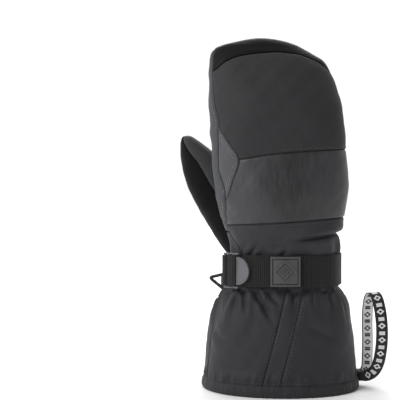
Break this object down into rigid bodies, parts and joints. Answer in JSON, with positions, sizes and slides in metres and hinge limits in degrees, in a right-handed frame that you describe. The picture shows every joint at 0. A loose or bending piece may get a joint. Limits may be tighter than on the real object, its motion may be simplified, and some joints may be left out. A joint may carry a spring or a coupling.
{
  "type": "ski mitten",
  "caption": "Right-hand insulated ski mitten with a gauntlet cuff, suede grip palm and thumb, ladder-buckle wrist strap, pairing ring and leash loop.",
  "frame": {"origin": "centre of the cuff opening, in the plane of the hem that the mitten stands on", "axes": "+Z from the cuff to the fingertips, back of the hand towards -Y, palm towards +Y, thumb towards -X"},
  "size_m": [0.1844, 0.0922, 0.3125],
  "materials": {
    "cap_nylon": "slightly shiny woven nylon",
    "gusset_twill": "light grey heathered twill",
    "diamond_twill": "grey heathered twill",
    "back_nylon": "matt woven nylon",
    "knuckle_coated": "coated synthetic leather, satin",
    "wrist_nylon": "matt woven nylon",
    "palm_coated": "coated synthetic leather, satin",
    "grip_suede": "black brushed suede",
    "cuff_nylon": "woven nylon with a slight sheen",
    "padding": "lofty polyester wadding",
    "membrane": "thin film",
    "fleece": "brushed fleece",
    "lining_nylon": "smooth woven lining",
    "hem_tape": "folded woven tape",
    "webbing": "ribbed polyester webbing",
    "leash_ribbon": "woven ribbon, dark outside and pale inside",
    "thumb_nylon": "matt woven nylon",
    "buckle_plastic": "satin moulded plastic",
    "badge_rubber": "matt moulded rubber",
    "ring_plastic": "satin moulded plastic"
  },
  "bodies": {
    "root": {"fingertip_cap": "cap_nylon", "side_gusset": "gusset_twill", "diamond_patch": "diamond_twill", "back_fingers_panel": "back_nylon", "back_knuckle_panel": "knuckle_coated", "back_wrist_panel": "wrist_nylon", "palm_fingers_panel": "palm_coated", "palm_grip_patch": "grip_suede", "palm_heel_panel": "wrist_nylon", "wrist_elastic": "wrist_nylon", "cuff_palm_panel": "cuff_nylon", "cuff_back_left": "cuff_nylon", "cuff_back_strip": "cuff_nylon", "cuff_back_right": "cuff_nylon", "hand_padding_back": "padding", "hand_padding_palm": "padding", "cuff_padding_back": "padding", "cuff_padding_palm": "padding", "waterproof_membrane": "membrane", "hand_lining": "fleece", "cuff_lining": "lining_nylon", "hem_binding": "hem_tape", "wrist_strap": "webbing", "strap_anchor_loop": "webbing", "ring_tab": "webbing", "leash_ribbon": "leash_ribbon", "leash_end_tab": "leash_ribbon"},
    "thumb": {"thumb_grip_shell": "grip_suede", "thumb_back_shell": "thumb_nylon", "thumb_padding": "padding", "thumb_lining": "fleece"},
    "buckle": {"buckle": "buckle_plastic", "strap_turn": "webbing"},
    "tail": {"strap_tail": "webbing", "badge": "badge_rubber"},
    "ring": {"pairing_ring": "ring_plastic"}
  },
  "joints": [
    {"name": "thumb_spread", "type": "hinge", "parent": "root", "child": "thumb", "pos_m": [-0.05, 0, 0.121], "axis": [0, -1, 0], "range_deg": [0, 25]},
    {"name": "buckle_tilt", "type": "hinge", "parent": "root", "child": "buckle", "pos_m": [-0.0505, -0.0205, 0.106], "axis": [0, 0, -1], "range_deg": [0, 40]},
    {"name": "tail_pull", "type": "hinge", "parent": "root", "child": "tail", "pos_m": [0.002, 0.0545, 0.106], "axis": [0, 0, 1], "range_deg": [0, 5]},
    {"name": "ring_swing", "type": "hinge", "parent": "root", "child": "ring", "pos_m": [-0.0524, 0, 0.095], "axis": [0, 0, 1], "range_deg": [-60, 60]}
  ]
}
